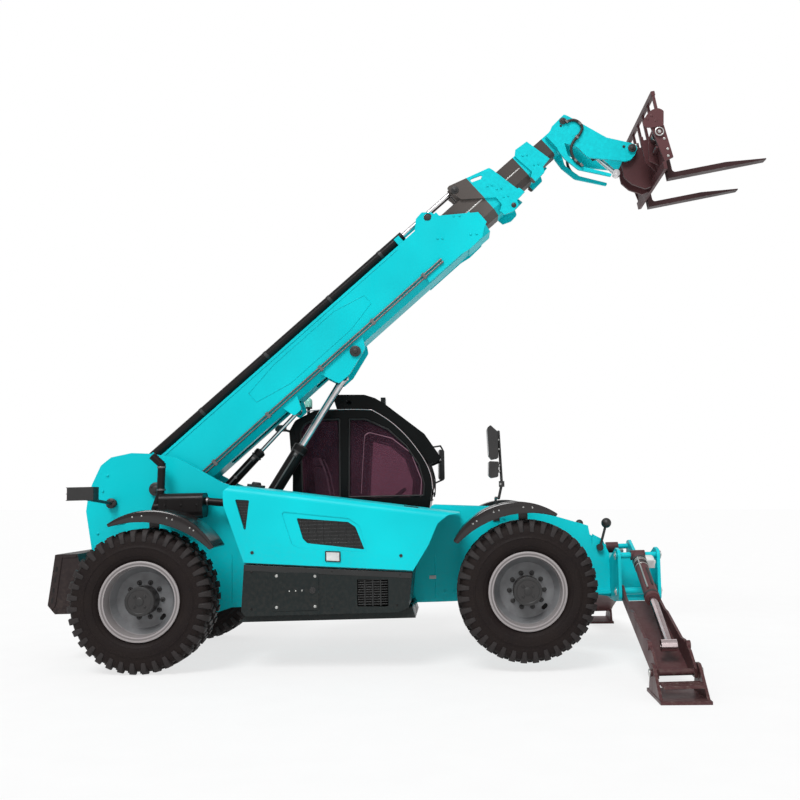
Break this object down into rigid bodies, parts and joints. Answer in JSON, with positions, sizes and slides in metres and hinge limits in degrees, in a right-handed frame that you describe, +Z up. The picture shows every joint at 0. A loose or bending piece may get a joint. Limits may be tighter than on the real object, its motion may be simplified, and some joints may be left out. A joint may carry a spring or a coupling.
{
  "type": "telehandler",
  "caption": "Telescopic handler with raised multi-section boom, pallet forks, side cab, side engine hood and front stabilisers.",
  "frame": {"origin": "centre of the machine's outline on the ground", "axes": "+X forward, +Y to the machine's left, +Z up"},
  "size_m": [6.4241, 4.88, 5.1615],
  "materials": {
    "teal_paint": "gloss",
    "dark_paint": "satin",
    "brown_paint": "satin",
    "grey_paint": "satin",
    "inner_boom": "satin",
    "chrome": "polished",
    "tyre": "matte",
    "plastic": "matte",
    "glass": "gloss",
    "seat": "matte",
    "iron": "matte"
  },
  "bodies": {
    "chassis": {"chassis_frame": "teal_paint", "counterweight": "dark_paint", "rear_axle": "iron", "front_axle": "iron", "side_tray": "dark_paint", "engine_block": "iron", "exhaust": "dark_paint", "cab_shell": "dark_paint", "cab_glass": "glass", "roof_guard": "dark_paint", "seat": "seat", "console": "plastic", "rear_lamps": "plastic", "front_lamps": "plastic", "mirrors": "plastic", "cab_lamps": "plastic"},
    "hood": {"hood": "teal_paint", "hood_trim": "plastic"},
    "door": {"door": "dark_paint", "door_glass": "glass"},
    "boom_base": {"boom_base": "teal_paint", "extension_barrel": "dark_paint", "boom_pipes": "chrome"},
    "boom_second": {"boom_second": "inner_boom", "extension_rod": "chrome", "second_lines": "dark_paint"},
    "boom_third": {"boom_third": "inner_boom"},
    "boom_fourth": {"boom_fourth": "teal_paint"},
    "lift_barrel": {"lift_barrel": "dark_paint"},
    "lift_rod": {"lift_rod": "chrome"},
    "level_barrel": {"level_barrel": "dark_paint"},
    "level_rod": {"level_rod": "chrome"},
    "tilt_barrel": {"tilt_barrel": "dark_paint"},
    "tilt_rod": {"tilt_rod": "chrome"},
    "carriage": {"carriage": "brown_paint", "backrest": "brown_paint", "fork_left": "brown_paint", "fork_right": "brown_paint"},
    "knuckle_rear_right": {"knuckle_rear_right": "plastic"},
    "wheel_rear_right": {"wheel_rear_right": "grey_paint", "tyre_rear_right": "tyre"},
    "knuckle_rear_left": {"knuckle_rear_left": "plastic"},
    "wheel_rear_left": {"wheel_rear_left": "grey_paint", "tyre_rear_left": "tyre"},
    "knuckle_front_right": {"knuckle_front_right": "plastic"},
    "wheel_front_right": {"wheel_front_right": "grey_paint", "tyre_front_right": "tyre"},
    "knuckle_front_left": {"knuckle_front_left": "plastic"},
    "wheel_front_left": {"wheel_front_left": "grey_paint", "tyre_front_left": "tyre"},
    "leg_right": {"stabiliser_leg_right": "brown_paint"},
    "foot_right": {"stabiliser_foot_right": "brown_paint"},
    "leg_barrel_right": {"stabiliser_barrel_right": "brown_paint"},
    "leg_rod_right": {"stabiliser_rod_right": "chrome"},
    "leg_left": {"stabiliser_leg_left": "brown_paint"},
    "foot_left": {"stabiliser_foot_left": "brown_paint"},
    "leg_barrel_left": {"stabiliser_barrel_left": "brown_paint"},
    "leg_rod_left": {"stabiliser_rod_left": "chrome"}
  },
  "joints": [
    {"name": "steer_rear_left", "type": "hinge", "parent": "chassis", "child": "knuckle_rear_left", "pos_m": [-2.25048, 0.84, 0.588], "axis": [-0.0227, 0, 0.9997], "range_deg": [-34, 34]},
    {"name": "steer_rear_right", "type": "hinge", "parent": "chassis", "child": "knuckle_rear_right", "pos_m": [-2.25048, -0.84, 0.588], "axis": [-0.0227, 0, 0.9997], "range_deg": [-34, 34]},
    {"name": "steer_front_left", "type": "hinge", "parent": "chassis", "child": "knuckle_front_left", "pos_m": [0.92371, 0.84, 0.66003], "axis": [-0.0227, 0, 0.9997], "range_deg": [-34, 34]},
    {"name": "steer_front_right", "type": "hinge", "parent": "chassis", "child": "knuckle_front_right", "pos_m": [0.92371, -0.84, 0.66003], "axis": [-0.0227, 0, 0.9997], "range_deg": [-34, 34]},
    {"name": "spin_rear_right", "type": "hinge", "parent": "knuckle_rear_right", "child": "wheel_rear_right", "pos_m": [-2.25048, -0.9875, 0.588], "axis": [0, 1, 0], "continuous": true},
    {"name": "spin_rear_left", "type": "hinge", "parent": "knuckle_rear_left", "child": "wheel_rear_left", "pos_m": [-2.25048, 0.9875, 0.588], "axis": [0, 1, 0], "continuous": true},
    {"name": "spin_front_right", "type": "hinge", "parent": "knuckle_front_right", "child": "wheel_front_right", "pos_m": [0.92371, -0.9875, 0.66003], "axis": [0, 1, 0], "continuous": true},
    {"name": "spin_front_left", "type": "hinge", "parent": "knuckle_front_left", "child": "wheel_front_left", "pos_m": [0.92371, 0.9875, 0.66003], "axis": [0, 1, 0], "continuous": true},
    {"name": "boom_lift", "type": "hinge", "parent": "chassis", "child": "boom_base", "pos_m": [-2.38732, 0, 1.50513], "axis": [0, -1, 0], "range_deg": [-44.3, 25.7]},
    {"name": "lift_barrel_swing", "type": "hinge", "parent": "chassis", "child": "lift_barrel", "pos_m": [-1.99371, 0, 0.45579], "axis": [0, -1, 0], "range_deg": [-33.87, 19.73]},
    {"name": "lift_rod_slide", "type": "slide", "parent": "lift_barrel", "child": "lift_rod", "axis": [0.5107, 0, 0.8598], "range_m": [-0.7056, 0.4102]},
    {"name": "level_barrel_swing", "type": "hinge", "parent": "chassis", "child": "level_barrel", "pos_m": [-2.14348, 0, 1.16257], "axis": [0, -1, 0], "range_deg": [-43.61, 25.39]},
    {"name": "level_rod_slide", "type": "slide", "parent": "level_barrel", "child": "level_rod", "axis": [0.6703, 0, 0.7421], "range_m": [-0.3422, 0.1994]},
    {"name": "extend_second", "type": "slide", "parent": "boom_base", "child": "boom_second", "axis": [0.7361, 0, 0.6769], "range_m": [-0.105, 3]},
    {"name": "extend_third", "type": "slide", "parent": "boom_second", "child": "boom_third", "axis": [0.7361, 0, 0.6769], "range_m": [-0.105, 3]},
    {"name": "extend_fourth", "type": "slide", "parent": "boom_third", "child": "boom_fourth", "axis": [0.7361, 0, 0.6769], "range_m": [-0.105, 3]},
    {"name": "carriage_tilt", "type": "hinge", "parent": "boom_fourth", "child": "carriage", "pos_m": [2.01547, 0, 4.78763], "axis": [0, 1, 0], "range_deg": [-42, 58]},
    {"name": "tilt_barrel_swing", "type": "hinge", "parent": "boom_fourth", "child": "tilt_barrel", "pos_m": [1.34708, 0, 5.05061], "axis": [0, 1, 0], "range_deg": [-1.4, 1.1]},
    {"name": "tilt_rod_slide", "type": "slide", "parent": "tilt_barrel", "child": "tilt_rod", "axis": [0.7582, 0, -0.652], "range_m": [-0.2131, 0.1548]},
    {"name": "leg_swing_right", "type": "hinge", "parent": "chassis", "child": "leg_right", "pos_m": [1.92188, -0.7, 0.61967], "axis": [-0.9997, 0, -0.0227], "range_deg": [0, 92]},
    {"name": "leg_barrel_swing_right", "type": "hinge", "parent": "chassis", "child": "leg_barrel_right", "pos_m": [1.91485, -0.72, 0.92959], "axis": [-0.9997, 0, -0.0227], "range_deg": [0, 102.93]},
    {"name": "leg_rod_slide_right", "type": "slide", "parent": "leg_barrel_right", "child": "leg_rod_right", "axis": [0.0103, -0.8914, -0.4531], "range_m": [-0.398, 0]},
    {"name": "foot_swing_right", "type": "hinge", "parent": "leg_right", "child": "foot_right", "pos_m": [1.93209, -2.12, 0.16978], "axis": [-0.9997, 0, -0.0227], "range_deg": [-20, 20]},
    {"name": "leg_swing_left", "type": "hinge", "parent": "chassis", "child": "leg_left", "pos_m": [1.92188, 0.7, 0.61967], "axis": [0.9997, 0, 0.0227], "range_deg": [0, 92]},
    {"name": "leg_barrel_swing_left", "type": "hinge", "parent": "chassis", "child": "leg_barrel_left", "pos_m": [1.91485, 0.72, 0.92959], "axis": [0.9997, 0, 0.0227], "range_deg": [0, 102.93]},
    {"name": "leg_rod_slide_left", "type": "slide", "parent": "leg_barrel_left", "child": "leg_rod_left", "axis": [0.0103, 0.8914, -0.4531], "range_m": [-0.398, 0]},
    {"name": "foot_swing_left", "type": "hinge", "parent": "leg_left", "child": "foot_left", "pos_m": [1.93209, 2.12, 0.16978], "axis": [0.9997, 0, 0.0227], "range_deg": [-20, 20]},
    {"name": "hood_hinge", "type": "hinge", "parent": "chassis", "child": "hood", "pos_m": [-1.51091, -0.316, 1.49701], "axis": [-0.9928, 0, 0.1202], "range_deg": [0, 50]},
    {"name": "door_hinge", "type": "hinge", "parent": "chassis", "child": "door", "pos_m": [-0.71222, 1.164, 1.03501], "axis": [-0.0227, 0, 0.9997], "range_deg": [0, 85]}
  ],
  "couplings": [
    {"joint": "steer_rear_right", "follows": "steer_rear_left", "ratio": 1},
    {"joint": "steer_front_right", "follows": "steer_front_left", "ratio": 1},
    {"joint": "lift_barrel_swing", "follows": "boom_lift", "ratio": 0.76},
    {"joint": "lift_rod_slide", "follows": "boom_lift", "m_per_rad": 0.91},
    {"joint": "level_barrel_swing", "follows": "boom_lift", "ratio": 0.98},
    {"joint": "level_rod_slide", "follows": "boom_lift", "m_per_rad": 0.44},
    {"joint": "extend_third", "follows": "extend_second", "ratio": 1},
    {"joint": "extend_fourth", "follows": "extend_second", "ratio": 1},
    {"joint": "tilt_barrel_swing", "follows": "carriage_tilt", "ratio": -0.02},
    {"joint": "tilt_rod_slide", "follows": "carriage_tilt", "m_per_rad": -0.2085},
    {"joint": "leg_barrel_swing_right", "follows": "leg_swing_right", "ratio": 1.1166},
    {"joint": "leg_rod_slide_right", "follows": "leg_swing_right", "m_per_rad": -0.2466},
    {"joint": "leg_barrel_swing_left", "follows": "leg_swing_left", "ratio": 1.1166},
    {"joint": "leg_rod_slide_left", "follows": "leg_swing_left", "m_per_rad": -0.2466}
  ]
}
